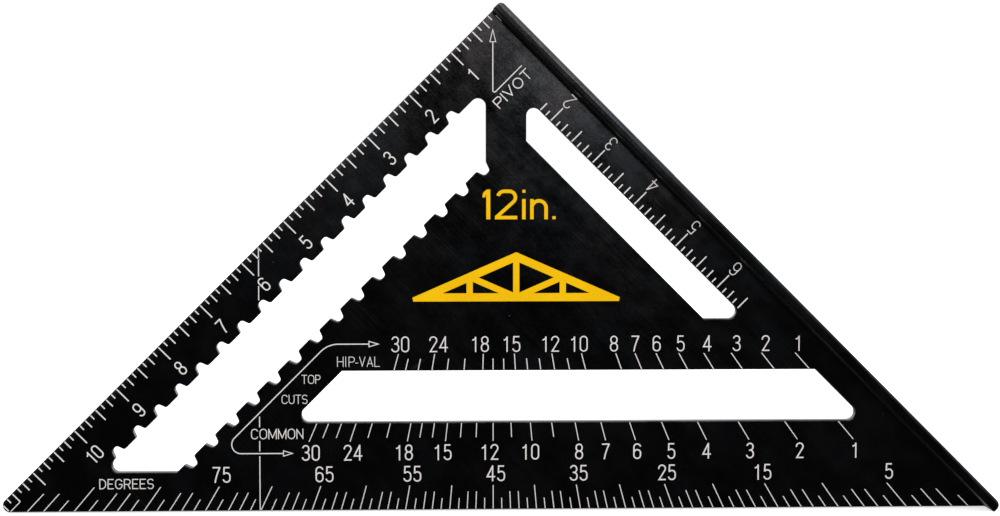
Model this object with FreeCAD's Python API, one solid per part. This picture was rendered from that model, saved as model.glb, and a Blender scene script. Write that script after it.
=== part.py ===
import FreeCAD, Part
import math
import os

# 12 in rafter (speed) square: a triangular aluminium blade with a T fence along
# one leg and scales printed as thin films on the front face.
#
# Frame (mm, +Z up): the origin is the pivot point, where the inner face of the
# fence meets the edge of the ruler leg on the printed face. The blade stands in
# the XZ plane with its hypotenuse down and parallel to X. The printed face is
# Y = 0 and looks toward -Y; the back is Y = +BLADE_T.
# Two plate coordinates run along the legs from the pivot:
#   ruler  along the ruler leg (down and to -X)
#   fence  along the fence leg (down and to +X)

V = FreeCAD.Vector
INCH = 25.4
ROOT2 = math.sqrt(2.0)

# ---- blade -------------------------------------------------------------------
LEG = 303.72                # both legs, measured to the hypotenuse
BLADE_T = 4.76
BLADE_EDGE = 0.30           # broken edge round the blade outline
TIP_R = 3.0                 # tip where the ruler edge meets the hypotenuse
BLADE_OVERLAP = 1.0         # blade carried into the fence so that the two fuse

# ---- fence -------------------------------------------------------------------
FENCE_LEN = 12 * INCH
FENCE_T = BLADE_T
FENCE_H = INCH              # overall, centred on the blade thickness
FENCE_OUTER_R = 1.9         # outer long edges
FENCE_INNER_R = 0.7         # inner long edges
FENCE_ROOT_R = 0.45         # fillet between fence and blade
FENCE_END_TOP_R = 2.5       # plan radius at the pivot end
FENCE_END_LOW_R = 3.0       # plan radius at the lower end
FENCE_END_INNER_R = 0.6
FENCE_OVERRUN = 2.0         # untrimmed fence past each end
FENCE_TRIM_REACH = 3.0      # trimming plan past the inner face of the fence

# ---- windows -----------------------------------------------------------------
WINDOW_R = 3.3              # sharp window ends
WINDOW_BLUNT_R = 0.4        # blunt corners of the right and lower windows

# left window, between ruler leg and centre web
LEFT_OUTER_FENCE = 21.0     # edge on the ruler side
LEFT_INNER_FENCE = 43.8     # edge on the centre-web side
LEFT_TOP_X = -3.05          # vertical end near the pivot
LEFT_LOW_Z = -197.85        # horizontal end near the hypotenuse
LEFT_LOW_OUTER_R = 3.05     # tighter, as the last notch stands close
LEFT_LOW_INNER_R = 0.8
LEFT_TOP_INNER_R = 0.6
NOTCH_PITCH = INCH / 2
NOTCH_DEPTH = 3.62
NOTCH_MOUTH = 2.85          # half width at the mouth
NOTCH_FLOOR = 1.55          # half width at the floor
NOTCH_FLOOR_R = 1.55
OUTER_NOTCH_MOUTH_R = 1.15
INNER_NOTCH_MOUTH_R = 0.8
OUTER_NOTCH_FIRST = 1.75 * INCH
OUTER_NOTCH_COUNT = 17
INNER_NOTCH_FIRST = 2.0 * INCH
INNER_NOTCH_COUNT = 15

# right window, beside the fence
RIGHT_OUTER_RULER = 15.95
RIGHT_INNER_RULER = 29.25
RIGHT_TOP_X = 14.35
RIGHT_LOW_Z = -132.35

# lower window, between the two rafter scales
LOWER_TOP_Z = -154.45
LOWER_LOW_Z = -176.60
LOWER_LEFT_FENCE = 63.25
LOWER_RIGHT_RULER = 10.35

# ---- print -------------------------------------------------------------------
INK_T = 0.06                # film thickness
MITRE_LIMIT = 2.4           # sharp corners run on at most this many half widths
JOIN_GAP = 1e-6             # ends closer than this already meet

# Numerals: gap between two of them; one_width is the width of a 1 over that of
# the others, one_gap the extra gap behind a 1 in widths.
LARGE_NUMERALS = dict(width=3.45, height=6.85, gap=0.82, one_width=0.595, one_gap=0.34)
RULE_NUMERALS = dict(width=3.25, height=6.40, gap=0.5, one_width=0.54, one_gap=0.27)
FOUR_WIDTH = 1.08           # width of a 4 over that of the others
ONE_FLAG_R = 1.45           # flag of a 1 at the large numeral height
LARGE_PEN = 0.58


def on_plate(ruler, fence):
    """Plate coordinates to (x, z)."""
    return ((fence - ruler) / ROOT2, -(ruler + fence) / ROOT2)


# ---- body --------------------------------------------------------------------
def at_depth(y):
    """Placing function for (x, z) points at the given Y."""
    return lambda x, z: V(x, y, z)


def rounded_face(corners, place):
    """Face with straight sides from corners ((a, b), radius); place turns
    (a, b) into a vector."""
    joints = []                 # arc start, arc middle or None, arc end
    for i, ((px, pz), radius) in enumerate(corners):
        if radius <= 0:
            joints.append(((px, pz), None, (px, pz)))
            continue
        before = corners[i - 1][0]
        after = corners[(i + 1) % len(corners)][0]
        to_before, to_after = math.dist(before, (px, pz)), math.dist(after, (px, pz))
        ux, uz = (before[0] - px) / to_before, (before[1] - pz) / to_before
        wx, wz = (after[0] - px) / to_after, (after[1] - pz) / to_after
        half = math.acos(max(-1.0, min(1.0, ux * wx + uz * wz))) / 2.0
        tangent = radius / math.tan(half)
        bisector = math.hypot(ux + wx, uz + wz)
        reach = (radius / math.sin(half) - radius) / bisector
        joints.append(((px + ux * tangent, pz + uz * tangent),
                       (px + (ux + wx) * reach, pz + (uz + wz) * reach),
                       (px + wx * tangent, pz + wz * tangent)))
    edges = []
    for i, (start, middle, end) in enumerate(joints):
        if middle is not None:
            edges.append(Part.Arc(place(*start), place(*middle), place(*end)).toShape())
        next_start = joints[(i + 1) % len(joints)][0]
        if math.dist(end, next_start) > JOIN_GAP:
            edges.append(Part.LineSegment(place(*end), place(*next_start)).toShape())
    return Part.Face(Part.Wire(edges))


def prism(corners, y0, y1):
    """Rounded polygon in X and Z, extruded from Y = y0 to y1."""
    return rounded_face(corners, at_depth(y0)).extrude(V(0, y1 - y0, 0))


def blade_corners():
    return [
        (on_plate(-BLADE_OVERLAP, 0.0), 0),
        (on_plate(-BLADE_OVERLAP, LEG + BLADE_OVERLAP), 0),
        (on_plate(LEG, 0.0), TIP_R),
    ]


def notch_corners(ruler, edge, sign, mouth_r):
    """One scribing notch, in order of rising ruler coordinate. The sign is -1
    where it cuts toward the ruler edge and +1 where it cuts inward."""
    floor = edge + sign * NOTCH_DEPTH
    return [
        (on_plate(ruler - NOTCH_MOUTH, edge), mouth_r),
        (on_plate(ruler - NOTCH_FLOOR, floor), NOTCH_FLOOR_R),
        (on_plate(ruler + NOTCH_FLOOR, floor), NOTCH_FLOOR_R),
        (on_plate(ruler + NOTCH_MOUTH, edge), mouth_r),
    ]


def left_window():
    top = LEFT_TOP_X * ROOT2            # fence - ruler on the vertical end
    low = -LEFT_LOW_Z * ROOT2           # ruler + fence on the horizontal end
    outer, inner = LEFT_OUTER_FENCE, LEFT_INNER_FENCE
    corners = [(on_plate(outer - top, outer), WINDOW_R)]
    for k in range(OUTER_NOTCH_COUNT):
        corners += notch_corners(OUTER_NOTCH_FIRST + k * NOTCH_PITCH, outer, -1,
                                 OUTER_NOTCH_MOUTH_R)
    corners.append((on_plate(low - outer, outer), LEFT_LOW_OUTER_R))
    corners.append((on_plate(low - inner, inner), LEFT_LOW_INNER_R))
    for k in reversed(range(INNER_NOTCH_COUNT)):
        corners += reversed(notch_corners(INNER_NOTCH_FIRST + k * NOTCH_PITCH, inner, +1,
                                          INNER_NOTCH_MOUTH_R))
    # The vertical end runs straight into the wall of the first inner notch,
    # so the crossing of the two replaces the mouth corner.
    mouth = INNER_NOTCH_FIRST - NOTCH_MOUTH
    wall_run = NOTCH_MOUTH - NOTCH_FLOOR
    share = (top - (inner - mouth)) / (NOTCH_DEPTH - wall_run)
    corners[-1] = (on_plate(mouth + share * wall_run, inner + share * NOTCH_DEPTH),
                   LEFT_TOP_INNER_R)
    return corners


def right_window():
    top = RIGHT_TOP_X * ROOT2
    low = -RIGHT_LOW_Z * ROOT2
    outer, inner = RIGHT_OUTER_RULER, RIGHT_INNER_RULER
    return [
        (on_plate(outer, outer + top), WINDOW_R),
        (on_plate(inner, inner + top), WINDOW_BLUNT_R),
        (on_plate(inner, low - inner), WINDOW_BLUNT_R),
        (on_plate(outer, low - outer), WINDOW_R),
    ]


def lower_window():
    top, low = -LOWER_TOP_Z * ROOT2, -LOWER_LOW_Z * ROOT2
    left, right = LOWER_LEFT_FENCE, LOWER_RIGHT_RULER
    return [
        (on_plate(top - left, left), WINDOW_BLUNT_R),
        (on_plate(low - left, left), WINDOW_R),
        (on_plate(right, low - right), WINDOW_R),
        (on_plate(right, top - right), WINDOW_BLUNT_R),
    ]


def make_blade():
    blade = prism(blade_corners(), 0.0, BLADE_T)
    for corners in (left_window(), right_window(), lower_window()):
        blade = blade.cut(prism(corners, -1.0, BLADE_T + 1.0))
    # Break every edge of both faces except the one buried in the fence.
    face_edges = []
    for edge in blade.Edges:
        centre = edge.CenterOfMass
        ruler = -(centre.x + centre.z) / ROOT2
        if edge.BoundBox.YLength < 1e-6 and ruler > 0.1 - BLADE_OVERLAP:
            face_edges.append(edge)
    return blade.makeChamfer(BLADE_EDGE, face_edges)


def fence_section():
    """Fence cross-section in the plane of ruler and Y, past the pivot end."""
    front = (BLADE_T - FENCE_H) / 2.0
    back = (BLADE_T + FENCE_H) / 2.0

    def place(ruler, y):
        x, z = on_plate(ruler, -FENCE_OVERRUN)
        return V(x, y, z)

    return rounded_face([
        ((-FENCE_T, front), FENCE_OUTER_R),
        ((-FENCE_T, back), FENCE_OUTER_R),
        ((0, back), FENCE_INNER_R),
        ((0, BLADE_T), FENCE_ROOT_R),
        ((FENCE_ROOT_R, BLADE_T), 0),
        ((FENCE_ROOT_R, 0), 0),
        ((0, 0), FENCE_ROOT_R),
        ((0, front), FENCE_INNER_R),
    ], place)


def make_fence():
    """Section swept along the fence leg, then its ends trimmed in plan."""
    sweep = (FENCE_LEN + 2 * FENCE_OVERRUN) / ROOT2
    fence = fence_section().extrude(V(sweep, 0, -sweep))
    reach = FENCE_TRIM_REACH
    plan = [
        (on_plate(-FENCE_T, 0.0), FENCE_END_TOP_R),
        (on_plate(-FENCE_T, FENCE_LEN), FENCE_END_LOW_R),
        (on_plate(0.0, FENCE_LEN), FENCE_END_INNER_R),
        (on_plate(0.0, LEG), 0),
        (on_plate(reach, LEG - reach), 0),
        (on_plate(reach, 0.0), 0),
    ]
    return fence.common(prism(plan, -40.0, 40.0))


def square_body():
    return [make_blade().fuse(make_fence()).removeSplitter()]


# ---- strokes -----------------------------------------------------------------
# A stroke is (chain, closed): a chain of lines and arcs in the (u, v)
# coordinates of a writing frame. Closed chains run anticlockwise.
class Frame:
    """Writing frame on the printed face: origin and reading direction."""

    def __init__(self, x, z, degrees=0.0):
        self.x, self.z, self.degrees = x, z, degrees

    def at(self, u, v):
        cos, sin = math.cos(math.radians(self.degrees)), math.sin(math.radians(self.degrees))
        return V(self.x + u * cos - v * sin, 0.0, self.z + u * sin + v * cos)

    def shifted(self, u, v):
        origin = self.at(u, v)
        return Frame(origin.x, origin.z, self.degrees)


FACE = Frame(0.0, 0.0)


class Line:
    def __init__(self, start, end):
        self.start, self.end = start, end

    def headings(self):
        """Unit directions at start and end."""
        length = math.dist(self.start, self.end)
        heading = ((self.end[0] - self.start[0]) / length,
                   (self.end[1] - self.start[1]) / length)
        return heading, heading

    def offset(self, distance):
        """Parallel line to the left (positive) or right (negative)."""
        (du, dv), _ = self.headings()
        return Line((self.start[0] - dv * distance, self.start[1] + du * distance),
                    (self.end[0] - dv * distance, self.end[1] + du * distance))

    def extended(self, at_start, at_end):
        (du, dv), _ = self.headings()
        return Line((self.start[0] - du * at_start, self.start[1] - dv * at_start),
                    (self.end[0] + du * at_end, self.end[1] + dv * at_end))

    def reversed(self):
        return Line(self.end, self.start)

    def edge(self, frame):
        return Part.LineSegment(frame.at(*self.start), frame.at(*self.end)).toShape()


class Arc:
    """Arc between two angles in degrees; it turns left where they rise."""

    def __init__(self, centre, radius, first, last):
        self.centre, self.radius, self.first, self.last = centre, radius, first, last
        self.start, self.end = self.point(first), self.point(last)

    def point(self, degrees):
        angle = math.radians(degrees)
        return (self.centre[0] + self.radius * math.cos(angle),
                self.centre[1] + self.radius * math.sin(angle))

    def headings(self):
        turn = 1.0 if self.last > self.first else -1.0
        angles = (math.radians(self.first), math.radians(self.last))
        return [(-math.sin(angle) * turn, math.cos(angle) * turn) for angle in angles]

    def offset(self, distance):
        inward = distance if self.last > self.first else -distance
        return Arc(self.centre, self.radius - inward, self.first, self.last)

    def reversed(self):
        return Arc(self.centre, self.radius, self.last, self.first)

    def edge(self, frame):
        middle = self.point((self.first + self.last) / 2.0)
        return Part.Arc(frame.at(*self.start), frame.at(*middle),
                        frame.at(*self.end)).toShape()


def left_arc(first, middle, last):
    """Left-turning arc through three points."""
    (ax, ay), (bx, by), (cx, cy) = first, middle, last
    a_sq, b_sq, c_sq = ax * ax + ay * ay, bx * bx + by * by, cx * cx + cy * cy
    scale = 2 * (ax * (by - cy) + bx * (cy - ay) + cx * (ay - by))
    centre = ((a_sq * (by - cy) + b_sq * (cy - ay) + c_sq * (ay - by)) / scale,
              (a_sq * (cx - bx) + b_sq * (ax - cx) + c_sq * (bx - ax)) / scale)
    start = math.degrees(math.atan2(ay - centre[1], ax - centre[0]))
    end = math.degrees(math.atan2(cy - centre[1], cx - centre[0]))
    return Arc(centre, math.dist(first, centre), start, start + (end - start) % 360.0)


def stroke(*pieces):
    return list(pieces), False


def path(*points):
    return [Line(a, b) for a, b in zip(points, points[1:])], False


def loop(width, low, high):
    """Closed stadium, its centre line from u = 0 to width and v = low to high."""
    r = width / 2.0
    return [Line((width, low + r), (width, high - r)), Arc((r, high - r), r, 0, 180),
            Line((0, high - r), (0, low + r)), Arc((r, low + r), r, 180, 360)], True


def corner_run(before, after, distance):
    """How far the offset lines run on at a corner; negative inside the turn,
    limited outside it. Joints with an arc are taken as tangent."""
    if not (isinstance(before, Line) and isinstance(after, Line)):
        return 0.0
    arriving, leaving = before.headings()[1], after.headings()[0]
    cross = arriving[0] * leaving[1] - arriving[1] * leaving[0]
    dot = arriving[0] * leaving[0] + arriving[1] * leaving[1]
    if abs(cross) < 1e-4:
        return 0.0
    run = abs(distance) * math.tan(math.atan2(abs(cross), dot) / 2.0)
    if cross * distance > 0:
        return -run
    return min(run, MITRE_LIMIT * abs(distance))


def offset_side(chain, closed, distance):
    """Chain offset to the left (positive) or right, with any gaps bridged."""
    runs = [corner_run(chain[i - 1], chain[i], distance) for i in range(len(chain))]
    if not closed:
        runs[0] = 0.0
    side = []
    for i, piece in enumerate(chain):
        moved = piece.offset(distance)
        if isinstance(moved, Line):
            moved = moved.extended(runs[i], runs[(i + 1) % len(chain)])
        if side and math.dist(side[-1].end, moved.start) > JOIN_GAP:
            side.append(Line(side[-1].end, moved.start))
        side.append(moved)
    if closed and math.dist(side[-1].end, side[0].start) > JOIN_GAP:
        side.append(Line(side[-1].end, side[0].start))
    return side


def ink(outline, pen, frame=FACE):
    """Solid film of one stroke drawn with a pen of the given width."""
    chain, closed = outline
    left = offset_side(chain, closed, pen / 2.0)
    right = offset_side(chain, closed, -pen / 2.0)

    def face_of(pieces):
        return Part.Face(Part.Wire([piece.edge(frame) for piece in pieces]))

    if closed:
        face = face_of(right).cut(face_of(left)).Faces[0]
    else:
        face = face_of(left + [Line(left[-1].end, right[-1].end)]
                       + [piece.reversed() for piece in reversed(right)]
                       + [Line(right[0].start, left[0].start)])
    return face.extrude(V(0, -INK_T, 0))


def fused(films):
    return list(films[0].multiFuse(films[1:]).removeSplitter().Solids)


# ---- characters --------------------------------------------------------------
# wide and high are the centre-line box of a character, with its origin at the
# lower left; bowl is half the width.
def digit_strokes(char, wide, high, pen):
    bowl, half = wide / 2.0, pen / 2.0
    ink_height = high + pen

    one_top = high + half - 0.035 * ink_height
    flag = ONE_FLAG_R * ink_height / LARGE_NUMERALS["height"]

    # the diagonal of a 2 leaves its bowl at a tangent
    foot = (0.32 * pen, 0.0)
    from_foot = (bowl - foot[0], high - bowl)
    tangent = math.degrees(math.atan2(-from_foot[1], -from_foot[0])
                           + math.acos(bowl / math.hypot(*from_foot)))
    two_bowl = Arc((bowl, high - bowl), bowl, 188, tangent)

    waist = 0.53 * high                     # of 3 and 8
    crown = 0.89 * bowl                     # radius of their upper bowls
    crown_right = bowl + crown
    crown_low, crown_high = waist + crown, high - crown

    four_stem = 0.74 * wide
    five_centre = 0.63 * high - bowl
    five_bowl = Arc((bowl, five_centre), bowl, 143.0, 0)
    tail_low, tail_high = 0.60 * high, 0.40 * high      # loop ends of 6 and 9

    return {
        "0": [loop(wide, 0, high)],
        "1": [path((wide, -half), (wide, one_top)),
              stroke(Arc((wide - flag, one_top), flag, -90, -12))],
        "2": [stroke(two_bowl, Line(two_bowl.end, foot), Line(foot, (wide + 0.4 * pen, 0)))],
        "3": [stroke(Arc((bowl, crown_high), crown, 172, 0),
                     Line((crown_right, crown_high), (crown_right, crown_low)),
                     Arc((bowl, crown_low), crown, 0, -90)),
              stroke(Arc((bowl, waist - bowl), bowl, 90, 0),
                     Line((wide, waist - bowl), (wide, bowl)),
                     Arc((bowl, bowl), bowl, 0, -172)),
              path((0.72 * bowl, waist), (bowl + 0.05, waist))],
        "4": [path((four_stem, -half), (four_stem, high + half)),
              path((four_stem, high + 0.1 * pen), (0, 0.27 * high),
                   (wide + half, 0.27 * high))],
        "5": [path((five_bowl.start[0] - 0.05 * pen, five_bowl.start[1] - 0.15 * pen),
                   (0.14 * wide, high), (0.94 * wide, high)),
              stroke(five_bowl, Line((wide, five_centre), (wide, bowl)),
                     Arc((bowl, bowl), bowl, 0, -172))],
        "6": [stroke(Arc((bowl, high - bowl), bowl, 12, 180),
                     Line((0, high - bowl), (0, bowl))),
              loop(wide, 0, tail_low)],
        "7": [path((-half, high), (wide + 0.30 * pen, high)),
              stroke(left_arc((wide - 0.05 * pen, high), (0.52 * wide, 0.46 * high),
                              (0.26 * wide, -half)))],
        "8": [loop(wide, 0, waist),
              ([Arc((bowl, crown_low), crown, -180, 0),
                Line((crown_right, crown_low), (crown_right, crown_high)),
                Arc((bowl, crown_high), crown, 0, 180),
                Line((bowl - crown, crown_high), (bowl - crown, crown_low))], True)],
        "9": [stroke(Arc((bowl, bowl), bowl, 192, 360),
                     Line((wide, bowl), (wide, high - bowl))),
              loop(wide, tail_high, high)],
    }[char]


def letter_strokes(char, wide, high, pen):
    bowl, half = wide / 2.0, pen / 2.0
    sink = 0.55 * pen                       # how far sharp points are drawn back
    top, right = high + half, wide + half   # outer edges of the ink
    bar = 0.51 * high                       # crossbar of E and H
    a_bar = 0.30 * high
    a_inset = bowl * a_bar / high
    g_bar = 0.46 * high

    def stem(u):
        return path((u, -half), (u, top))

    eye = 0.27 * high                       # bowl radius of P and R
    eye_u = wide - eye
    eye_stroke = stroke(Line((0, high), (eye_u, high)), Arc((eye_u, high - eye), eye, 90, -90),
                        Line((eye_u, high - 2 * eye), (0, high - 2 * eye)))

    corner = 0.72 * wide                    # corner radius of D
    corner_u = wide - corner

    turn = high / 4.0                       # bowl radius of S
    turn_left, turn_right = turn, wide - turn

    cap = Arc((bowl, high - bowl), bowl, 18, 180)       # top of C and G
    spine = Line((0, high - bowl), (0, bowl))

    return {
        "A": [path((0, -half), (bowl, high - sink), (wide, -half)),
              path((a_inset, a_bar), (wide - a_inset, a_bar))],
        "C": [stroke(cap, spine, Arc((bowl, bowl), bowl, 180, 342))],
        "D": [stem(0),
              stroke(Line((0, high), (corner_u, high)),
                     Arc((corner_u, high - corner), corner, 90, 0),
                     Line((wide, high - corner), (wide, corner)),
                     Arc((corner_u, corner), corner, 0, -90),
                     Line((corner_u, 0), (0, 0)))],
        "E": [path((right, high), (0, high), (0, 0), (right, 0)),
              path((0, bar), (0.88 * wide, bar))],
        "G": [path((1.05 * bowl, g_bar), (right, g_bar)),
              stroke(cap, spine, Arc((bowl, bowl), bowl, 180, 360),
                     Line((wide, bowl), (wide, g_bar)))],
        "H": [stem(0), stem(wide), path((0, bar), (wide, bar))],
        "I": [stem(bowl)],
        "L": [path((0, top), (0, 0), (right, 0))],
        "M": [path((0, -half), (0, high - sink), (bowl, 0.10 * high),
                   (wide, high - sink), (wide, -half))],
        "N": [path((0, -half), (0, high - sink), (wide, sink), (wide, top))],
        "O": [loop(wide, 0, high)],
        "P": [stem(0), eye_stroke],
        "R": [stem(0), eye_stroke,
              path((wide - 0.9 * eye, high - 2 * eye), (wide, -half))],
        "S": [stroke(Arc((turn_right, high - turn), turn, 25, 90),
                     Line((turn_right, high), (turn_left, high)),
                     Arc((turn_left, high - turn), turn, 90, 270),
                     Line((turn_left, high / 2), (turn_right, high / 2)),
                     Arc((turn_right, turn), turn, 90, -90),
                     Line((turn_right, 0), (turn_left, 0)),
                     Arc((turn_left, turn), turn, -90, -155))],
        "T": [path((-half, high), (right, high)), path((bowl, -half), (bowl, high))],
        "U": [stroke(Line((0, top), (0, bowl)), Arc((bowl, bowl), bowl, 180, 360),
                     Line((wide, bowl), (wide, top)))],
        "V": [path((0, top), (bowl, sink), (wide, top))],
        "-": [path((-half, 0.36 * high), (right, 0.36 * high))],
    }[char]


def draw(strokes, pen, frame):
    films = [ink(outline, pen, frame) for outline in strokes]
    return films if len(films) == 1 else fused(films)


def character(char, frame, width, height, pen):
    """One character; width, height and the frame origin are of its ink box."""
    strokes_of = digit_strokes if char.isdigit() else letter_strokes
    return draw(strokes_of(char, width - pen, height - pen, pen), pen,
                frame.shifted(pen / 2, pen / 2))


def number(value, frame, pen, width, height, gap, one_width, one_gap):
    """Numerals centred on u = 0 of the frame, standing on v = 0."""
    text = str(value)
    factors = {"1": one_width, "4": FOUR_WIDTH}
    widths = [width * factors.get(char, 1.0) for char in text]
    gaps = [gap + (one_gap * width if char == "1" else 0.0) for char in text[:-1]] + [0.0]
    u = -(sum(widths) + sum(gaps)) / 2.0
    solids = []
    for char, char_width, char_gap in zip(text, widths, gaps):
        solids += character(char, frame.shifted(u, 0.0), char_width, height, pen)
        u += char_width + char_gap
    return solids


# letter widths relative to one another; an I is as wide as the pen
LETTER_WIDTHS = {"C": 1.05, "D": 1.0, "E": 0.90, "G": 1.08, "M": 1.22, "N": 1.0, "O": 1.10,
                 "P": 0.92, "R": 1.0, "S": 0.96, "T": 0.95, "U": 1.0, "V": 1.08}


def word(text, frame, total, height, pen, gap):
    """Word with its ink starting at u = 0 and as wide as total."""
    relative = sum(LETTER_WIDTHS[char] for char in text if char != "I")
    unit = (total - gap * (len(text) - 1) - pen * text.count("I")) / relative
    u = 0.0
    solids = []
    for char in text:
        width = pen if char == "I" else unit * LETTER_WIDTHS[char]
        solids += character(char, frame.shifted(u, 0.0), width, height, pen)
        u += width + gap
    return solids


# ---- inch rules --------------------------------------------------------------
TICK_PEN = 0.55
# tick lengths at whole inches, halves, quarters and eighths
EDGE_TICK_LENGTHS = (7.65, 6.3, 4.4, 2.7)
INNER_TICK_LENGTHS = (7.7, 6.5, 4.35, 2.85)
TICK_INSET = 0.34                           # tick start from the plate edge
EDGE_LAST_TICK = 94
EDGE_LAST_TICK_INSET = 1.15                 # clear of the rounded tip
EDGE_SHORT_TICK, EDGE_SHORT_TICK_LENGTH = 92, 5.1
EDGE_NUMERAL_FENCE = 16.55                  # baseline
EDGE_NUMERAL_SHIFT = -0.35                  # along the ruler from the inch
EDGE_NUMERAL_SHIFTS = {1: 0.25, 10: 1.15}   # the same, for these numerals
EDGE_NUMERAL_PEN = 0.57
INNER_NUMERAL_RULER = 1.15                  # baseline
INNER_NUMERAL_SHIFT = 0.05
INNER_NUMERAL_PEN = 0.45


def tick_length(eighths, lengths):
    for step, length in zip((8, 4, 2, 1), lengths):
        if eighths % step == 0:
            return length


def edge_inch_ticks():
    solids = []
    for k in range(1, EDGE_LAST_TICK + 1):
        ruler = k * INCH / 8.0
        end = tick_length(k, EDGE_TICK_LENGTHS)
        if k == EDGE_SHORT_TICK:
            end = EDGE_SHORT_TICK_LENGTH
        start = EDGE_LAST_TICK_INSET if k == EDGE_LAST_TICK else TICK_INSET
        solids.append(ink(path(on_plate(ruler, start), on_plate(ruler, end)), TICK_PEN))
    # hairline zero mark beside the fence root
    solids.append(ink(path(on_plate(0.62, 2.4), on_plate(0.62, 5.8)), 0.14))
    return solids


def edge_inch_numerals():
    solids = []
    for n in range(1, 11):
        ruler = n * INCH + EDGE_NUMERAL_SHIFTS.get(n, EDGE_NUMERAL_SHIFT)
        frame = Frame(*on_plate(ruler, EDGE_NUMERAL_FENCE), 45.0)
        solids += number(n, frame, EDGE_NUMERAL_PEN, **RULE_NUMERALS)
    return solids


def inner_inch_ticks():
    """Rule between the fence and the right window, from the window edge."""
    solids = []
    for k in range(14, 53):
        fence = k * INCH / 8.0
        start = RIGHT_OUTER_RULER - TICK_INSET
        end = RIGHT_OUTER_RULER - tick_length(k, INNER_TICK_LENGTHS)
        solids.append(ink(path(on_plate(start, fence), on_plate(end, fence)), TICK_PEN))
    return solids


def inner_inch_numerals():
    solids = []
    for n in range(2, 7):
        frame = Frame(*on_plate(INNER_NUMERAL_RULER, n * INCH + INNER_NUMERAL_SHIFT), 135.0)
        solids += number(n, frame, INNER_NUMERAL_PEN, **RULE_NUMERALS)
    return solids


# ---- radial scales -----------------------------------------------------------
RAY_PEN = 0.39
COMMON_RAY_PEN = 0.36
SCALE_INSET = 0.36                          # ray ends from the nearby plate edge

DEGREE_FIVE_TOP_Z = -204.2                  # every fifth degree
DEGREE_MIDDLE_TOP_Z = -206.9                # second and third of each five
DEGREE_TOP_Z = -209.75                      # the others
DEGREE_LAST, DEGREE_LAST_TOP_Z = 89, -210.3
DEGREE_BASELINE = -202.5

COMMON_RUN, HIP_RUN = 12.0, 17.0            # rafter run for the numbered rise
COMMON_TICK_TOP_Z = LOWER_LOW_Z - 0.55
COMMON_MAJOR_Z, COMMON_MINOR_Z = -184.95, -183.35       # lower ends
COMMON_BASELINE = -193.2
HIP_TICK_LOW_Z = LOWER_TOP_Z + SCALE_INSET
HIP_MAJOR_Z, HIP_MINOR_Z = -147.25, -149.3              # upper ends
HIP_BASELINE = -146.45
HIP_NUMERAL_PEN = 0.53

# numeral: x of its centre
DEGREE_NUMERALS = {75: -116.85, 65: -72.7, 55: -34.9, 45: 1.15, 35: 37.0, 25: 75.35,
                   15: 117.05, 5: 172.25}
COMMON_NUMERALS = {30: -78.55, 24: -60.4, 18: -38.4, 15: -21.7, 12: -1.45, 10: 16.15,
                   8: 37.2, 7: 48.8, 6: 62.4, 5: 77.2, 4: 92.55, 3: 111.45, 2: 133.15,
                   1: 156.9}
HIP_NUMERALS = {30: -39.95, 24: -23.45, 18: -5.55, 15: 8.0, 12: 24.75, 10: 37.1,
                8: 52.2, 7: 61.5, 6: 70.7, 5: 81.05, 4: 92.6, 3: 105.35, 2: 118.0,
                1: 131.75}
# rises with a tick but no numeral
HIP_MINOR = (28, 26, 22, 20, 17, 16, 14, 13, 11)
COMMON_MINOR = HIP_MINOR + (9,)


def ray(degrees, top, low, pen):
    """Line on a ray from the pivot at an angle from the fence, between two
    heights, with its ends cut level."""
    slope = math.tan(math.radians(45.0 - degrees))
    half = pen / 2.0 * math.hypot(1.0, slope)
    corners = [V(-slope * z + side * half, 0.0, z)
               for z, side in ((top, -1), (top, 1), (low, 1), (low, -1))]
    return Part.Face(Part.makePolygon(corners + corners[:1])).extrude(V(0, -INK_T, 0))


def numeral_row(places, baseline, pen):
    solids = []
    for n, x in places.items():
        solids += number(n, Frame(x, baseline), pen, **LARGE_NUMERALS)
    return solids


def degree_ticks():
    low = -LEG / ROOT2 + SCALE_INSET
    solids = []
    for degree in range(1, DEGREE_LAST + 1):
        top = DEGREE_TOP_Z
        if degree == DEGREE_LAST:
            top = DEGREE_LAST_TOP_Z
        elif degree % 5 == 0:
            top = DEGREE_FIVE_TOP_Z
        elif degree % 5 in (2, 3):
            top = DEGREE_MIDDLE_TOP_Z
        solids.append(ray(degree, top, low, RAY_PEN))
    return solids


def rafter_ticks(rises, run, top, low, pen):
    return [ray(math.degrees(math.atan2(rise, run)), top, low, pen) for rise in rises]


def common_ticks():
    top, pen = COMMON_TICK_TOP_Z, COMMON_RAY_PEN
    return (rafter_ticks(COMMON_NUMERALS, COMMON_RUN, top, COMMON_MAJOR_Z, pen)
            + rafter_ticks(COMMON_MINOR, COMMON_RUN, top, COMMON_MINOR_Z, pen))


def hip_val_ticks():
    low = HIP_TICK_LOW_Z
    return (rafter_ticks(HIP_NUMERALS, HIP_RUN, HIP_MAJOR_Z, low, RAY_PEN)
            + rafter_ticks(HIP_MINOR, HIP_RUN, HIP_MINOR_Z, low, RAY_PEN))


# ---- words -------------------------------------------------------------------
# character, x of its left edge, width
HIP_VAL_LETTERS = (("H", -67.05, 2.75), ("I", -63.5, 0.30), ("P", -62.1, 2.65),
                   ("-", -59.2, 1.15), ("V", -57.6, 2.7), ("A", -54.35, 2.8),
                   ("L", -51.05, 2.35))


def hip_val_word():
    solids = []
    for char, x, width in HIP_VAL_LETTERS:
        solids += character(char, Frame(x, -152.65), width, height=4.4, pen=0.28)
    return solids


def degrees_word():
    return word("DEGREES", Frame(-169.15, -205.0), total=23.25, height=4.4, pen=0.39, gap=0.62)


def common_word():
    return word("COMMON", Frame(-104.1, -183.75), total=22.4, height=4.5, pen=0.37, gap=0.55)


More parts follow.
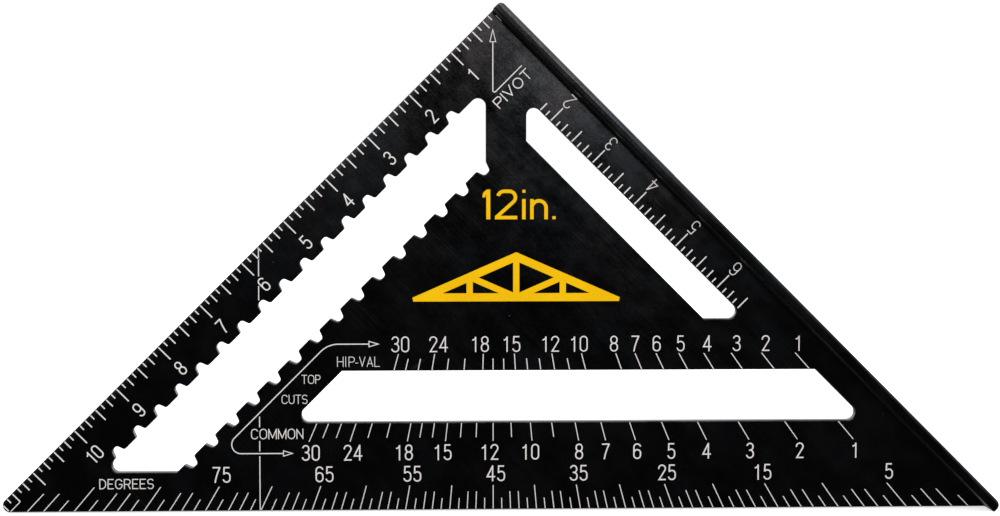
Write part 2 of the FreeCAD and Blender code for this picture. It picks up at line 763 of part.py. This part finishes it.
def top_cuts_words():
    return (word("TOP", Frame(-82.3, -159.9), total=8.1, height=3.85, pen=0.30, gap=0.42)
            + word("CUTS", Frame(-90.9, -168.55), total=11.1, height=3.95, pen=0.30, gap=0.42))


def pivot_word():
    x, z = on_plate(27.9, 31.75)
    return word("PIVOT", Frame(x + 0.25, z + 0.06, 45.0), total=20.3, height=4.75, pen=0.47,
                gap=0.75)


# ---- arrows and lines --------------------------------------------------------
def arrow_head(tip, degrees, length, half_width, pen):
    """Open triangular arrowhead with its point at tip."""
    centre_half = half_width - pen / 2
    point = (-pen / 2 / math.sin(math.atan2(centre_half, length)), 0.0)
    left, right = (-length, centre_half), (-length, -centre_half)
    chain = [Line(point, left), Line(left, right), Line(right, point)]
    return ink((chain, True), pen, Frame(*tip, degrees))


def scale_leader_arrow():
    """One line from the hip/valley scale round to the common scale, with an
    open arrowhead at each end."""
    top, low = -142.85, -189.95
    diagonal_x = 71.95                      # x - z on the 45 degree run
    top_r, low_r = 10.5, 3.95
    top_tangent = top_r * math.tan(math.radians(22.5))
    low_tangent = low_r * math.tan(math.radians(67.5))
    top_bend_x = top + diagonal_x + top_tangent
    low_bend_x = low + diagonal_x + low_tangent
    top_bend = Arc((top_bend_x, top - top_r), top_r, 90, 135)
    low_bend = Arc((low_bend_x, low + low_r), low_r, 135, 270)
    line = stroke(Line((-53.3, top), (top_bend_x, top)), top_bend,
                  Line(top_bend.end, low_bend.start), low_bend,
                  Line((low_bend_x, low), (-90.2, low)))
    return fused([
        ink(line, 0.45),
        arrow_head((-48.6, top), 0.0, length=4.75, half_width=1.35, pen=0.38),
        arrow_head((-85.7, low), 0.0, length=4.55, half_width=1.35, pen=0.38),
    ])


def pivot_arrow():
    """Line below the pivot that turns up to the right, with its arrowhead
    pointing at the pivot."""
    elbow_r = 0.70
    run_fence = 25.35                       # fence coordinate of the sloping run
    elbow_z = -run_fence * ROOT2 + elbow_r * math.tan(math.radians(67.5))
    elbow = Arc((elbow_r, elbow_z), elbow_r, 180, 315)
    line = stroke(Line((0.0, -13.3), (0.0, elbow_z)), elbow,
                  Line(elbow.end, on_plate(7.8, run_fence)))
    return fused([
        ink(line, 0.47),
        arrow_head((0.0, -7.4), 90.0, length=6.0, half_width=1.45, pen=0.36),
    ])


GUIDE_X = -100.42
# upper and lower z of each dash
GUIDE_DASHES = ((-101.6, -113.6), (-117.7, -123.9), (-174.0, -178.6), (-184.5, -188.95),
                (-191.1, -214.35))


def guide_line():
    return [ink(path((GUIDE_X, top), (GUIDE_X, low)), 0.42) for top, low in GUIDE_DASHES]


# ---- size label and emblem ---------------------------------------------------
def size_label():
    """The label "12in." in heavy strokes, u being x and v the height above
    its baseline."""
    frame = Frame(0.0, -89.3)
    pen = 1.50
    lower_case_v = 8.68                     # top of the i stem and the n stem
    # 1: stem with a curved flag
    solids = fused([
        ink(path((-2.0, 0), (-2.0, 12.78)), 1.70, frame),
        ink(stroke(left_arc((-2.2, 12.05), (-3.35, 11.3), (-3.75, 9.45))), 1.30, frame),
    ])
    # 2: square-ended foot, then flat-topped bowl with a straight diagonal
    shoulder = Arc((7.06, 9.43), 2.60, 90, -48)
    diagonal = Line(shoulder.end, (0, 0))
    du, dv = shoulder.headings()[1]
    diagonal.end = (shoulder.end[0] + 9.957 * du, shoulder.end[1] + 9.957 * dv)
    solids += draw([
        path((0.86, 0.75), (10.43, 0.75)),
        stroke(Arc((4.85, 9.26), 2.77, 163, 90), Line((4.85, 12.03), (7.06, 12.03)),
               shoulder, diagonal),
    ], pen, frame)
    # i: stem and dot
    solids.append(ink(path((13.28, 0), (13.28, lower_case_v)), pen, frame))
    solids.append(ink(path((13.32, 11.40), (13.32, 12.68)), 1.30, frame))
    # n: stem and arch
    arch = Arc((19.79, 4.88), 3.05, 0, 165)
    solids += draw([path((16.75, 0), (16.75, lower_case_v)),
                    stroke(Line((22.84, 0), (22.84, 4.88)), arch)], pen, frame)
    # full stop
    solids.append(ink(path((26.27, 0), (26.27, 1.33)), 1.38, frame))
    return solids


def roof_emblem():
    """King-post roof truss pictogram."""
    left, right, low, high = -34.0, 54.0, -124.6, -103.6    # x and z of its box
    chord_pen, web_pen = 3.5, 2.7
    heel = 3.9                              # chord corners in from the box ends
    middle = (left + right) / 2.0
    chord_z = low + chord_pen / 2
    apex_z = high - chord_pen / 2
    start, end, apex = (left + heel, chord_z), (right - heel, chord_z), (middle, apex_z)
    foot = (middle, chord_z)
    films = [ink(([Line(start, end), Line(end, apex), Line(apex, start)], True), chord_pen),
             ink(path(foot, (middle, high - chord_pen)), web_pen)]
    for side in (-1.0, 1.0):
        web_x = middle + side * (end[0] - middle) / 2
        rafter_middle = (web_x, (chord_z + apex_z) / 2.0)
        films.append(ink(path(foot, rafter_middle), web_pen))
        films.append(ink(path((web_x, chord_z), rafter_middle), web_pen))
    return fused(films)


def export(name, solids):
    shape = solids[0] if len(solids) == 1 else Part.makeCompound(solids)
    shape.exportStep("parts/%s.step" % name)


def main():
    os.makedirs("parts", exist_ok=True)
    for piece in (square_body, edge_inch_ticks, edge_inch_numerals, inner_inch_ticks,
                  inner_inch_numerals, degree_ticks, degrees_word, hip_val_ticks,
                  hip_val_word, common_ticks, common_word, top_cuts_words,
                  scale_leader_arrow, pivot_arrow, pivot_word, guide_line, size_label,
                  roof_emblem):
        export(piece.__name__, piece())
    export("degree_numerals", numeral_row(DEGREE_NUMERALS, DEGREE_BASELINE, LARGE_PEN))
    export("hip_val_numerals", numeral_row(HIP_NUMERALS, HIP_BASELINE, HIP_NUMERAL_PEN))
    export("common_numerals", numeral_row(COMMON_NUMERALS, COMMON_BASELINE, LARGE_PEN))


main()
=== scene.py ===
import math
import bpy
import bmesh
from mathutils import Matrix, Vector


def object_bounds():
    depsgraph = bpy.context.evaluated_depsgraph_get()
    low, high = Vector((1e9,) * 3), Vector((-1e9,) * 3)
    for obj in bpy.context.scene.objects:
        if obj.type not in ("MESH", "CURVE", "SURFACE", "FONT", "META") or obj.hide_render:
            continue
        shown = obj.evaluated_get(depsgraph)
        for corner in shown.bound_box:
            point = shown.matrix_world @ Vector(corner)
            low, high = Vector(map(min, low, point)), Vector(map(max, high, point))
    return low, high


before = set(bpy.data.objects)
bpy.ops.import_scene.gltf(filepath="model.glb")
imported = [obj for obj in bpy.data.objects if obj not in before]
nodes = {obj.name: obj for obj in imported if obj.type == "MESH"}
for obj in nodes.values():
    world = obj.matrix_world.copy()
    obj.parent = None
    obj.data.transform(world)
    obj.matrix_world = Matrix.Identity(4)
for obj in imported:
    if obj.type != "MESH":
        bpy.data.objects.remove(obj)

cad_lo, cad_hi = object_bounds()
S = math.sqrt(0.5)


# ---------------------------------------------------------------- node helper
class Net:
    """Small helper to write node networks as nested calls."""

    def __init__(self, tree):
        self.t = tree
        self.x = 0

    def add(self, kind, **kw):
        n = self.t.nodes.new(kind)
        self.x += 1
        n.location = (self.x * 40, -(self.x % 12) * 60)
        for k, v in kw.items():
            setattr(n, k, v)
        return n

    def put(self, socket, value):
        if value is None:
            return
        if hasattr(value, "links") or hasattr(value, "is_output"):
            self.t.links.new(value, socket)
        else:
            if isinstance(value, (tuple, list)) and len(value) == 3 and len(socket.default_value) == 4:
                value = tuple(value) + (1.0,)
            socket.default_value = value

    def math(self, op, a, b=None, c=None, clamp=False):
        n = self.add("ShaderNodeMath", operation=op, use_clamp=clamp)
        self.put(n.inputs[0], a)
        self.put(n.inputs[1], b)
        self.put(n.inputs[2], c)
        return n.outputs[0]

    def vmath(self, op, a, b=None, scale=None):
        n = self.add("ShaderNodeVectorMath", operation=op)
        self.put(n.inputs[0], a)
        self.put(n.inputs[1], b)
        if scale is not None:
            self.put(n.inputs["Scale"], scale)
        return n.outputs["Value"] if op in ("DOT_PRODUCT", "LENGTH", "DISTANCE") else n.outputs["Vector"]

    def smooth(self, v, lo, hi, out_lo=0.0, out_hi=1.0, kind="SMOOTHSTEP"):
        n = self.add("ShaderNodeMapRange", interpolation_type=kind)
        n.clamp = True
        for i, q in enumerate((v, lo, hi, out_lo, out_hi)):
            self.put(n.inputs[i], q)
        return n.outputs[0]

    def noise(self, vec, scale, detail=2.0, rough=0.5, distort=0.0):
        n = self.add("ShaderNodeTexNoise", noise_dimensions="3D")
        self.put(n.inputs["Vector"], vec)
        self.put(n.inputs["Scale"], scale)
        self.put(n.inputs["Detail"], detail)
        self.put(n.inputs["Roughness"], rough)
        self.put(n.inputs["Distortion"], distort)
        return n.outputs["Fac"]

    def mix(self, fac, a, b, blend="MIX"):
        n = self.add("ShaderNodeMix", data_type="RGBA", blend_type=blend)
        self.put(n.inputs["Factor"], fac)
        self.put(n.inputs["A"], a)
        self.put(n.inputs["B"], b)
        return n.outputs["Result"] if "Result" in [o.name for o in n.outputs if o.enabled] else n.outputs[2]

    def combine(self, x, y, z):
        n = self.add("ShaderNodeCombineXYZ")
        self.put(n.inputs[0], x)
        self.put(n.inputs[1], y)
        self.put(n.inputs[2], z)
        return n.outputs[0]


def mixc(net, fac, a, b, blend="MIX"):
    n = net.add("ShaderNodeMix", data_type="RGBA", blend_type=blend)
    net.put(n.inputs[0], fac)
    net.put(n.inputs[6], a)
    net.put(n.inputs[7], b)
    return n.outputs[2]


def new_material(name):
    m = bpy.data.materials.new(name)
    m.use_nodes = True
    m.node_tree.nodes.clear()
    return m, Net(m.node_tree)


def plate_coords(net):
    """Millimetre coordinates along the fence (grain), across it, and through the blade."""
    tc = net.add("ShaderNodeTexCoord")
    p = net.vmath("SCALE", tc.outputs["Object"], scale=1000.0)
    f = net.vmath("DOT_PRODUCT", p, (S, 0.0, -S))
    r = net.vmath("DOT_PRODUCT", p, (-S, 0.0, -S))
    sep = net.add("ShaderNodeSeparateXYZ")
    net.put(sep.inputs[0], p)
    return p, f, r, sep.outputs[1]


# ------------------------------------------------------------- black finish
def black_finish():
    """Satin black coat over extruded aluminium: faint draw lines along the
    fence direction, cloudy sheen, fine orange peel, dust and rubbed edges."""
    m, n = new_material("black_finish_satin")
    p, f, r, y = plate_coords(n)

    # draw lines of the extrusion: long along f, very fine across r
    lines_v = n.combine(n.math("MULTIPLY", f, 0.012), n.math("MULTIPLY", y, 0.9), n.math("MULTIPLY", r, 1.6))
    lines = n.noise(lines_v, 1.0, 3.0, 0.6)
    lines_f_v = n.combine(n.math("MULTIPLY", f, 0.05), n.math("MULTIPLY", y, 2.5), n.math("MULTIPLY", r, 5.5))
    lines_f = n.noise(lines_f_v, 1.0, 2.0, 0.55)
    # slow clouds in the sheen, a little longer along the grain
    cloud_v = n.combine(n.math("MULTIPLY", f, 0.035), n.math("MULTIPLY", y, 0.05), n.math("MULTIPLY", r, 0.06))
    cloud = n.noise(cloud_v, 1.0, 3.0, 0.55, 0.4)
    blotch = n.noise(p, 0.16, 3.0, 0.6, 0.2)
    hue = n.noise(p, 0.022, 2.0, 0.5, 0.3)
    speck = n.noise(p, 0.85, 2.0, 0.65)
    # skin of the coat
    peel = n.noise(p, 2.2, 2.0, 0.5)
    grit = n.noise(p, 9.0, 1.0, 0.5)

    # dust specks and small light scuffs
    vor = n.add("ShaderNodeTexVoronoi", feature="F1", distance="EUCLIDEAN")
    n.put(vor.inputs["Vector"], p)
    n.put(vor.inputs["Scale"], 0.14)
    n.put(vor.inputs["Randomness"], 1.0)
    rnd = n.add("ShaderNodeSeparateColor")
    n.put(rnd.inputs[0], vor.outputs["Color"])
    size = n.smooth(rnd.outputs[0], 0.35, 1.0, 0.010, 0.042, "LINEAR")
    keep = n.math("GREATER_THAN", rnd.outputs[1], 0.60)
    dust = n.math("MULTIPLY", keep, n.smooth(n.math("DIVIDE", vor.outputs["Distance"], size), 0.55, 1.0, 1.0, 0.0))
    dust = n.math("MULTIPLY", dust, n.smooth(rnd.outputs[2], 0.0, 1.0, 0.15, 1.0, "LINEAR"))

    # thin hairline scratches, a few directions
    def scratch(angle, seed, density, width):
        ca, sa = math.cos(angle), math.sin(angle)
        u = n.vmath("DOT_PRODUCT", p, (ca, 0.0, sa))
        v = n.vmath("DOT_PRODUCT", p, (-sa, 0.0, ca))
        w = n.noise(n.combine(n.math("MULTIPLY", u, 0.02), seed, n.math("MULTIPLY", v, 0.03)), 1.0, 1.0, 0.5)
        v2 = n.math("ADD", v, n.math("MULTIPLY", w, 14.0))
        wave = n.noise(n.combine(n.math("MULTIPLY", u, 0.006), seed + 4.0, n.math("MULTIPLY", v2, density)), 1.0, 1.0, 0.3)
        line = n.smooth(n.math("ABSOLUTE", n.math("SUBTRACT", wave, 0.5)), 0.0, width, 1.0, 0.0)
        gate = n.noise(n.combine(n.math("MULTIPLY", u, 0.03), seed + 9.0, n.math("MULTIPLY", v, 0.05)), 1.0, 2.0, 0.5)
        return n.math("MULTIPLY", line, n.smooth(gate, 0.60, 0.72))

    scr = n.math("MAXIMUM", scratch(0.35, 1.7, 0.16, 0.0035), scratch(-0.9, 5.3, 0.13, 0.003))

    # rubbed edges: where the shading normal and its rounded version part
    bev = n.add("ShaderNodeBevel", samples=8)
    n.put(bev.inputs["Radius"], 0.00055)
    geo = n.add("ShaderNodeNewGeometry")
    edge = n.math("SUBTRACT", 1.0, n.vmath("DOT_PRODUCT", bev.outputs[0], geo.outputs["Normal"]))
    edge = n.smooth(edge, 0.015, 0.16)
    wear_n = n.noise(p, 0.55, 4.0, 0.65)
    wear = n.math("MULTIPLY", edge, n.smooth(wear_n, 0.50, 0.68))

    # the fence's printed-side edge is very slightly crowned, lower inwards
    nrm = n.add("ShaderNodeSeparateXYZ")
    n.put(nrm.inputs[0], geo.outputs["Normal"])
    top_face = n.math("MULTIPLY", n.smooth(y, -9.7, -9.2, 1.0, 0.0), n.smooth(nrm.outputs[1], -0.97, -0.90, 1.0, 0.0))
    tilt = n.math("MULTIPLY", top_face, n.smooth(r, -3.2, -0.7, 0.018, 0.046, "LINEAR"))
    # painted light: the fence's inner wall, the face turned to the blade, gets a lighter base colour as if a low fill
    # lit it from the front left; it is also made rougher and given less sheen
    facing_r = n.vmath("DOT_PRODUCT", geo.outputs["Normal"], (-S, 0.0, -S))
    painted_wall_fill = n.math("MULTIPLY", n.smooth(facing_r, 0.75, 0.95), n.smooth(n.math("ABSOLUTE", r), 0.3, 0.8, 1.0, 0.0))

    # colour
    deep = (0.0006, 0.0006, 0.0006)
    lift = (0.0011, 0.0011, 0.0013)
    col = mixc(n, n.smooth(cloud, 0.30, 0.75), deep, lift)
    col = mixc(n, n.math("MULTIPLY", n.smooth(lines, 0.40, 0.72), 0.35), col, (0.0016, 0.0016, 0.0017))
    col = mixc(n, n.math("MULTIPLY", wear, 0.30), col, (0.035, 0.035, 0.037))
    col = mixc(n, n.math("MULTIPLY", scr, 0.25), col, (0.03, 0.03, 0.031))
    col = mixc(n, n.math("MULTIPLY", dust, 0.60), col, (0.10, 0.10, 0.10))

    # painted light: the inner wall of the fence is lifted to a dim grey, mottled by the blotches
    col = mixc(n, n.math("MULTIPLY", painted_wall_fill, n.smooth(blotch, 0.25, 0.75, 0.80, 1.0)), col, (0.0070, 0.0069, 0.0062))

    # patches are stronger on the printed face, where hands and pencils go
    hand = n.smooth(y, 0.5, 3.5, 1.0, 0.30, "LINEAR")
    outer = n.smooth(n.vmath("DOT_PRODUCT", geo.outputs["Normal"], (S, 0.0, S)), 0.5, 0.9, 1.0, 0.35)
    hand = n.math("MINIMUM", hand, outer)

    def patch(r0, f0, sr, sf, gain):
        """Soft oval area of more or less sheen, with a ragged border."""
        a = n.math("DIVIDE", n.math("SUBTRACT", r, r0), sr)
        c = n.math("DIVIDE", n.math("SUBTRACT", f, f0), sf)
        d2 = n.math("ADD", n.math("MULTIPLY", a, a), n.math("MULTIPLY", c, c))
        d = n.math("ADD", n.math("SQRT", d2), n.math("MULTIPLY", n.math("SUBTRACT", cloud, 0.5), 0.9))
        return n.smooth(d, 0.35, 1.25, gain, 0.0)

    worn = patch(104.0, -2.0, 52.0, 30.0, 0.46)         # left leg, where it is gripped
    dull = patch(44.0, 16.0, 24.0, 22.0, -0.27)
    dull2 = patch(60.0, 98.0, 46.0, 62.0, -0.15)
    worn2 = patch(6.0, 158.0, 16.0, 34.0, 0.14)
    dull3 = patch(15.0, 80.0, 17.0, 40.0, -0.11)
    marks = n.math("ADD", n.math("ADD", worn, dull), n.math("ADD", n.math("ADD", dull2, dull3), worn2))
    # painted highlight: a strip of the printed face along the ruler edge gets a lighter base colour, with more sheen
    # and roughness, in place of the edge's reflection
    painted_ruler_edge_highlight = n.math("MULTIPLY", n.smooth(f, 0.2, 3.0, 1.0, 0.0), n.smooth(y, 0.3, 1.2, 1.0, 0.0))
    col = mixc(n, n.math("MULTIPLY", painted_ruler_edge_highlight, 0.7), col, (0.0062, 0.0062, 0.0064))

    # roughness
    ro = n.math("MULTIPLY_ADD", n.math("MULTIPLY", n.math("SUBTRACT", cloud, 0.5), 0.10), hand, 0.174)
    ro = n.math("ADD", ro, n.math("MULTIPLY", worn, 0.06))
    ro = n.math("ADD", ro, n.math("MULTIPLY", n.math("SUBTRACT", lines, 0.5), 0.09))
    ro = n.math("ADD", ro, n.math("MULTIPLY", n.math("MULTIPLY", n.math("SUBTRACT", blotch, 0.5), 0.07), hand))
    ro = n.math("ADD", ro, n.math("MULTIPLY", painted_ruler_edge_highlight, 0.07))
    ro = n.math("ADD", ro, n.math("MULTIPLY", painted_wall_fill, 0.20))
    ro = n.math("ADD", ro, n.math("MULTIPLY", wear, 0.12))
    ro = n.math("ADD", ro, n.math("MULTIPLY", dust, 0.4))

    # relief
    h = n.math("MULTIPLY", n.math("SUBTRACT", lines_f, 0.5), 0.0010)
    h = n.math("ADD", h, n.math("MULTIPLY", n.math("SUBTRACT", lines, 0.5), 0.0022))
    h = n.math("ADD", h, n.math("MULTIPLY", n.math("SUBTRACT", peel, 0.5), 0.0020))
    h = n.math("ADD", h, n.math("MULTIPLY", n.math("SUBTRACT", grit, 0.5), 0.0006))
    h = n.math("SUBTRACT", h, n.math("MULTIPLY", scr, 0.002))
    bump = n.add("ShaderNodeBump")
    n.put(bump.inputs["Strength"], 1.0)
    n.put(bump.inputs["Distance"], 0.001)      # heights above are in millimetres
    n.put(bump.inputs["Height"], h)
    tv = n.vmath("SCALE", (-S, 0.0, -S), scale=tilt)
    n.put(bump.inputs["Normal"], n.vmath("NORMALIZE", n.vmath("ADD", bev.outputs[0], tv)))

    b = n.add("ShaderNodeBsdfPrincipled")
    n.put(b.inputs["Base Color"], col)
    n.put(b.inputs["Metallic"], 0.0)
    n.put(b.inputs["Roughness"], ro)
    n.put(b.inputs["IOR"], 1.5)
    # the sheen is patchy: clouds, finer blotches and a grain, with a drift from cool to warm
    lvl = n.math("ADD", n.smooth(cloud, 0.34, 0.66, -0.13, 0.13), n.smooth(blotch, 0.34, 0.66, -0.08, 0.08))
    lvl = n.math("ADD", lvl, n.smooth(speck, 0.30, 0.70, -0.13, 0.13))
    lvl = n.math("ADD", lvl, marks)
    lvl = n.math("MULTIPLY_ADD", lvl, hand, 0.48)
    lvl = n.math("ADD", lvl, n.smooth(lines, 0.32, 0.68, -0.06, 0.06))
    # rubbed smooth along the fence's front edge, most a hand's width down from the pivot
    rub = n.math("MULTIPLY", n.smooth(f, 15.0, 50.0, 0.09, 0.24), n.smooth(f, 100.0, 150.0, 1.0, -0.2))
    lvl = n.math("ADD", lvl, n.math("MULTIPLY", n.smooth(y, -9.3, -8.0, 1.0, 0.0), rub))
    lvl = n.math("SUBTRACT", lvl, n.math("MULTIPLY", painted_wall_fill, 0.16))
    lvl = n.math("ADD", lvl, n.math("MULTIPLY", painted_ruler_edge_highlight, n.smooth(speck, 0.30, 0.70, 0.10, 0.22)))
    n.put(b.inputs["Specular IOR Level"], lvl)
    n.put(b.inputs["Specular Tint"], mixc(n, n.math("MULTIPLY_ADD", n.math("SUBTRACT", n.smooth(hue, 0.36, 0.64), 0.5), hand, 0.5),
                                          (0.80, 0.90, 1.0), (0.98, 0.92, 0.98)))
    n.put(b.inputs["Normal"], bump.outputs[0])
    out = n.add("ShaderNodeOutputMaterial")
    n.put(out.inputs["Surface"], b.outputs[0])
    return m


# ---------------------------------------------------------------------- inks
def ink(name, base, warm, scale=1.0, ior=1.30):
    """Screen-printed ink: slightly uneven cover, soft tone drift, pin holes."""
    m, n = new_material(name)
    p, f, r, y = plate_coords(n)
    cover = n.noise(p, 1.4 * scale, 3.0, 0.6)
    drift = n.noise(p, 0.05, 2.0, 0.5)
    mesh_a = n.noise(n.combine(n.math("MULTIPLY", f, 6.5), 0.0, n.math("MULTIPLY", r, 6.5)), 1.0, 0.0, 0.5)
    hole = n.smooth(n.noise(p, 3.6, 1.0, 0.5), 0.24, 0.30, 1.0, 0.0)
    col = mixc(n, n.smooth(cover, 0.30, 0.70), tuple(c * 0.93 for c in base), base)
    col = mixc(n, n.math("MULTIPLY", n.smooth(drift, 0.35, 0.65), 0.5), col, warm)
    col = mixc(n, n.math("MULTIPLY", hole, 0.20), col, tuple(c * 0.5 for c in base))
    b = n.add("ShaderNodeBsdfPrincipled")
    n.put(b.inputs["Base Color"], col)
    n.put(b.inputs["Roughness"], n.smooth(cover, 0.2, 0.8, 0.46, 0.62, "LINEAR"))
    n.put(b.inputs["IOR"], ior)
    h = n.math("ADD", n.math("MULTIPLY", cover, 0.006), n.math("MULTIPLY", mesh_a, 0.003))
    bump = n.add("ShaderNodeBump")
    n.put(bump.inputs["Strength"], 1.0)
    n.put(bump.inputs["Distance"], 0.001)
    n.put(bump.inputs["Height"], h)
    n.put(b.inputs["Normal"], bump.outputs[0])
    out = n.add("ShaderNodeOutputMaterial")
    n.put(out.inputs["Surface"], b.outputs[0])
    return m


mat_black = black_finish()
mat_white = ink("white_print_ink", (0.63, 0.61, 0.605), (0.66, 0.61, 0.585))
mat_yellow = ink("yellow_print_ink", (0.775, 0.435, 0.0008), (0.81, 0.47, 0.0015), 0.7, 1.12)

yellow = {"size_label", "roof_emblem"}
for name, obj in nodes.items():
    mat = mat_black if name == "square_body" else mat_yellow if name in yellow else mat_white
    obj.data.materials.clear()
    obj.data.materials.append(mat)


# --------------------------------------------------------------------- stage
floor_z = cad_lo[2]
bm = bmesh.new()
half = 30.0
ring = [bm.verts.new((x * half, y * half, floor_z)) for x, y in ((-1, -1), (1, -1), (1, 1), (-1, 1))]
bm.faces.new(ring)
me = bpy.data.meshes.new("studio_floor")
bm.to_mesh(me)
bm.free()
floor = bpy.data.objects.new("studio_floor", me)
bpy.context.scene.collection.objects.link(floor)
fm, n = new_material("floor_white")
tc = n.add("ShaderNodeTexCoord")
d = n.add("ShaderNodeBsdfDiffuse")
n.put(d.inputs["Color"], (0.93, 0.93, 0.93, 1.0))
e = n.add("ShaderNodeEmission")
n.put(e.inputs["Color"], (1.0, 1.0, 1.0, 1.0))
# seen from above the floor is a pale grey that takes a soft shadow; towards
# the horizon it burns out to the backdrop's white
fg = n.add("ShaderNodeNewGeometry")
steep = n.smooth(n.math("ABSOLUTE", n.vmath("DOT_PRODUCT", fg.outputs["Incoming"], (0.0, 0.0, 1.0))), 0.16, 0.34)
flp = n.add("ShaderNodeLightPath")
steep = n.math("MULTIPLY", steep, flp.outputs["Is Camera Ray"])
n.put(e.inputs["Strength"], n.math("SUBTRACT", 0.68, n.math("MULTIPLY", steep, 0.66)))
ad = n.add("ShaderNodeAddShader")
n.put(ad.inputs[0], d.outputs[0])
n.put(ad.inputs[1], e.outputs[0])
out = n.add("ShaderNodeOutputMaterial")
n.put(out.inputs["Surface"], ad.outputs[0])
me.materials.append(fm)
floor.visible_glossy = False

# ------------------------------------------------------------ studio surround
world = bpy.data.worlds.new("studio")
bpy.context.scene.world = world
world.use_nodes = True
wt = world.node_tree
wt.nodes.clear()
n = Net(wt)
tc = n.add("ShaderNodeTexCoord")
sep = n.add("ShaderNodeSeparateXYZ")
n.put(sep.inputs[0], tc.outputs["Generated"])
dx, dy, dz = sep.outputs
lp = n.add("ShaderNodeLightPath")
# what glossy surfaces see: pale backdrop behind, dark room in front, soft light overhead
back = n.smooth(dy, -0.05, 0.35)
low = n.math("MULTIPLY", n.smooth(dy, 0.80, 0.93), n.smooth(dz, -0.10, 0.02, 1.0, 0.0))
back = n.math("MULTIPLY", back, n.math("MULTIPLY_ADD", low, -0.70, 1.0))
up = n.smooth(dz, 0.57, 0.72, 0.0, 1.55)
g = n.math("MAXIMUM", n.math("MULTIPLY", back, 0.95), up)
side = n.math("MULTIPLY", n.smooth(n.math("ABSOLUTE", dx), 0.42, 0.90), n.smooth(dz, -0.9, 0.6, 0.10, 0.42))
g = n.math("MAXIMUM", g, n.math("MAXIMUM", side, 0.025))
seen = n.math("ADD", n.math("MULTIPLY", lp.outputs["Is Camera Ray"], 1.05),
              n.math("ADD", n.math("MULTIPLY", lp.outputs["Is Glossy Ray"], g),
                     n.math("MULTIPLY", lp.outputs["Is Diffuse Ray"], 0.92)))
bg = n.add("ShaderNodeBackground")
n.put(bg.inputs["Color"], (1.0, 1.0, 1.0, 1.0))
n.put(bg.inputs["Strength"], seen)
out = n.add("ShaderNodeOutputWorld")
n.put(out.inputs["Surface"], bg.outputs[0])
world.cycles.sampling_method = "NONE"


# -------------------------------------------------------------------- lights
def panel(name, y, r0, r1, f0, f1, radiance, foot=(-0.0223, -0.0668), reach=0.8039):
    """Soft panel parallel to the blade, turned to run up along the square to
    the fence, given by the mirror slopes it fills. Seen only in reflections."""
    k = reach + abs(y)
    w, h = (r1 - r0) * k, (f1 - f0) * k
    rc, fc = (r0 + r1) / 2 * k, (f0 + f1) / 2 * k
    ld = bpy.data.lights.new(name, "AREA")
    ld.shape = "RECTANGLE"
    ld.size, ld.size_y = h, w
    ld.energy = radiance * math.pi * w * h
    o = bpy.data.objects.new(name, ld)
    bpy.context.scene.collection.objects.link(o)
    # along the fence: (S, -S) in X, Z; square to it, up and right: (S, S)
    ex, ey = Vector((S, 0.0, -S)), Vector((S, 0.0, S))
    ez = ex.cross(ey)
    if ez.y * y < 0:
        ex, ez = -ex, -ez
    m3 = Matrix((ex, ey, ez)).transposed()
    loc = Vector((foot[0] + S * (rc + fc), y, foot[1] + S * (rc - fc)))
    o.matrix_world = Matrix.Translation(loc) @ m3.to_4x4()
    o.visible_camera = False
    o.visible_diffuse = False
    return o


panel("light_front_panel", -2.2, 0.20, 1.40, -0.60, 0.072, 1.9)
panel("light_front_strip", -2.2, 0.090, 0.20, -0.35, 0.055, 4.0)

# -------------------------------------------------------------------- camera
cd = bpy.data.cameras.new("camera_main")
cam = bpy.data.objects.new("camera_main", cd)
bpy.context.scene.collection.objects.link(cam)
cd.sensor_fit = "HORIZONTAL"
cd.sensor_width = 36.0
cd.lens = 1873.7 * 36.0 / 1000.0
cd.shift_x = -0.5 / 1000.0
cd.shift_y = 0.5 / 1000.0
rv = Vector([math.radians(v) for v in (2.80, -1.82, -0.08)])
rot = Matrix.Rotation(rv.length, 3, rv.normalized()) if rv.length else Matrix.Identity(3)
rows = rot @ Matrix(((1, 0, 0), (0, 0, -1), (0, 1, 0)))     # right, down, forward
right, down, fwd = rows[0], rows[1], rows[2]
m3 = Matrix((right, -down, -fwd)).transposed()
cam.matrix_world = Matrix.Translation(Vector((-0.0223, -0.8039, -0.0668))) @ m3.to_4x4()
cd.clip_start, cd.clip_end = 0.01, 200.0
bpy.context.scene.camera = cam

scene = bpy.context.scene
scene.view_settings.view_transform = "Standard"
scene.view_settings.look = "None"
scene.view_settings.exposure = 0.0
scene.view_settings.gamma = 1.0
